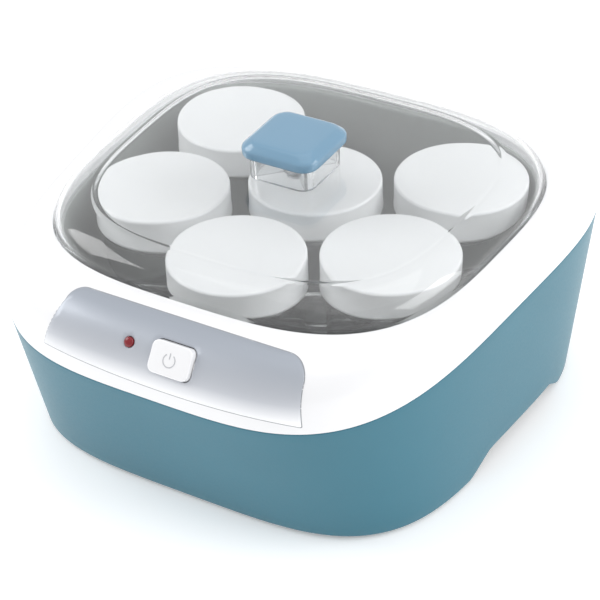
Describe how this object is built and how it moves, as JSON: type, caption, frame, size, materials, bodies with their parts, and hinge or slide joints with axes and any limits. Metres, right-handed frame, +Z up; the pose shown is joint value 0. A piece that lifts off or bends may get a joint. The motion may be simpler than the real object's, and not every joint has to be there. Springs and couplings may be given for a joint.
{
  "type": "yogurt maker",
  "caption": "Counter-top yogurt maker: rounded square heated well with lidded glass jars, clear domed lid with a knob, and a front panel with a button and a lamp.",
  "frame": {"origin": "on the table under the middle of the appliance", "axes": "+X to the right seen from the front, +Y to the back, +Z up"},
  "size_m": [0.267, 0.2513, 0.1465],
  "materials": {
    "housing_blue": "satin light blue moulded shell",
    "base_black": "dark moulded plastic",
    "foot_rubber": "matt black rubber",
    "screw_steel": "plain steel",
    "rim_white": "glossy white moulded plastic",
    "panel_silver": "silver-grey lacquered trim",
    "lamp_red": "red translucent lens",
    "board_green": "green circuit board",
    "well_grey": "mid-grey smooth moulding",
    "plate_dark": "dark anodised sheet",
    "fuse_copper": "bare metal case",
    "wire_black": "flexible insulation",
    "lid_clear": "clear glossy moulded plastic",
    "knob_blue": "glossy light blue moulding",
    "stem_clear": "clear glossy moulded plastic",
    "jar_glass": "clear smooth glass",
    "jar_lid_white": "satin white moulded plastic"
  },
  "bodies": {
    "base": {"base_housing": "housing_blue", "base_plate": "base_black", "cord_gland": "base_black", "cord_clamp": "base_black", "thermostat": "base_black", "switch_body": "base_black", "rubber_foot_1": "foot_rubber", "rubber_foot_2": "foot_rubber", "rubber_foot_3": "foot_rubber", "rubber_foot_4": "foot_rubber", "base_screw_1": "screw_steel", "base_screw_2": "screw_steel", "base_screw_3": "screw_steel", "base_screw_4": "screw_steel", "sensor_bracket": "screw_steel", "reflector_tray": "screw_steel", "heating_element": "screw_steel", "top_rim": "rim_white", "terminal_block": "rim_white", "control_panel": "panel_silver", "lamp_lens": "lamp_red", "lamp_board": "board_green", "well_tub": "well_grey", "heating_plate": "plate_dark", "thermal_fuse": "fuse_copper", "switch_wire_1": "wire_black", "switch_wire_2": "wire_black", "element_wire_1": "wire_black", "element_wire_2": "wire_black"},
    "lid": {"lid_shell": "lid_clear", "knob_stem": "stem_clear", "knob_cap": "knob_blue", "knob_screw": "screw_steel"},
    "button": {"power_button": "rim_white", "switch_plunger": "base_black"},
    "jar_body_1": {"jar_1": "jar_glass"},
    "jar_lid_body_1": {"jar_lid_1": "jar_lid_white"},
    "jar_body_2": {"jar_2": "jar_glass"},
    "jar_lid_body_2": {"jar_lid_2": "jar_lid_white"},
    "jar_body_3": {"jar_3": "jar_glass"},
    "jar_lid_body_3": {"jar_lid_3": "jar_lid_white"},
    "jar_body_4": {"jar_4": "jar_glass"},
    "jar_lid_body_4": {"jar_lid_4": "jar_lid_white"},
    "jar_body_5": {"jar_5": "jar_glass"},
    "jar_lid_body_5": {"jar_lid_5": "jar_lid_white"},
    "jar_body_6": {"jar_6": "jar_glass"},
    "jar_lid_body_6": {"jar_lid_6": "jar_lid_white"}
  },
  "joints": [
    {"name": "lid_lift", "type": "slide", "parent": "base", "child": "lid", "axis": [0, 0, 1], "range_m": [0, 0.25]},
    {"name": "button_press", "type": "slide", "parent": "base", "child": "button", "axis": [0, 0.8192, -0.5736], "range_m": [0, 0.0025], "stiffness_N_per_m": 600},
    {"name": "jar_1_lift", "type": "slide", "parent": "base", "child": "jar_body_1", "axis": [0, 0, 1], "range_m": [0, 0.12]},
    {"name": "jar_lid_1_lift", "type": "slide", "parent": "jar_body_1", "child": "jar_lid_body_1", "axis": [0, 0, 1], "range_m": [0, 0.04]},
    {"name": "jar_2_lift", "type": "slide", "parent": "base", "child": "jar_body_2", "axis": [0, 0, 1], "range_m": [0, 0.12]},
    {"name": "jar_lid_2_lift", "type": "slide", "parent": "jar_body_2", "child": "jar_lid_body_2", "axis": [0, 0, 1], "range_m": [0, 0.04]},
    {"name": "jar_3_lift", "type": "slide", "parent": "base", "child": "jar_body_3", "axis": [0, 0, 1], "range_m": [0, 0.12]},
    {"name": "jar_lid_3_lift", "type": "slide", "parent": "jar_body_3", "child": "jar_lid_body_3", "axis": [0, 0, 1], "range_m": [0, 0.04]},
    {"name": "jar_4_lift", "type": "slide", "parent": "base", "child": "jar_body_4", "axis": [0, 0, 1], "range_m": [0, 0.12]},
    {"name": "jar_lid_4_lift", "type": "slide", "parent": "jar_body_4", "child": "jar_lid_body_4", "axis": [0, 0, 1], "range_m": [0, 0.04]},
    {"name": "jar_5_lift", "type": "slide", "parent": "base", "child": "jar_body_5", "axis": [0, 0, 1], "range_m": [0, 0.12]},
    {"name": "jar_lid_5_lift", "type": "slide", "parent": "jar_body_5", "child": "jar_lid_body_5", "axis": [0, 0, 1], "range_m": [0, 0.04]},
    {"name": "jar_6_lift", "type": "slide", "parent": "base", "child": "jar_body_6", "axis": [0, 0, 1], "range_m": [0, 0.12]},
    {"name": "jar_lid_6_lift", "type": "slide", "parent": "jar_body_6", "child": "jar_lid_body_6", "axis": [0, 0, 1], "range_m": [0, 0.04]}
  ],
  "couplings": [
    {"joint": "jar_1_lift", "follows": "lid_lift", "ratio": 0.48},
    {"joint": "jar_lid_1_lift", "follows": "lid_lift", "ratio": 0.16},
    {"joint": "jar_2_lift", "follows": "lid_lift", "ratio": 0.48},
    {"joint": "jar_lid_2_lift", "follows": "lid_lift", "ratio": 0.16},
    {"joint": "jar_3_lift", "follows": "lid_lift", "ratio": 0.48},
    {"joint": "jar_lid_3_lift", "follows": "lid_lift", "ratio": 0.16},
    {"joint": "jar_4_lift", "follows": "lid_lift", "ratio": 0.48},
    {"joint": "jar_lid_4_lift", "follows": "lid_lift", "ratio": 0.16},
    {"joint": "jar_5_lift", "follows": "lid_lift", "ratio": 0.48},
    {"joint": "jar_lid_5_lift", "follows": "lid_lift", "ratio": 0.16},
    {"joint": "jar_6_lift", "follows": "lid_lift", "ratio": 0.48},
    {"joint": "jar_lid_6_lift", "follows": "lid_lift", "ratio": 0.16}
  ]
}
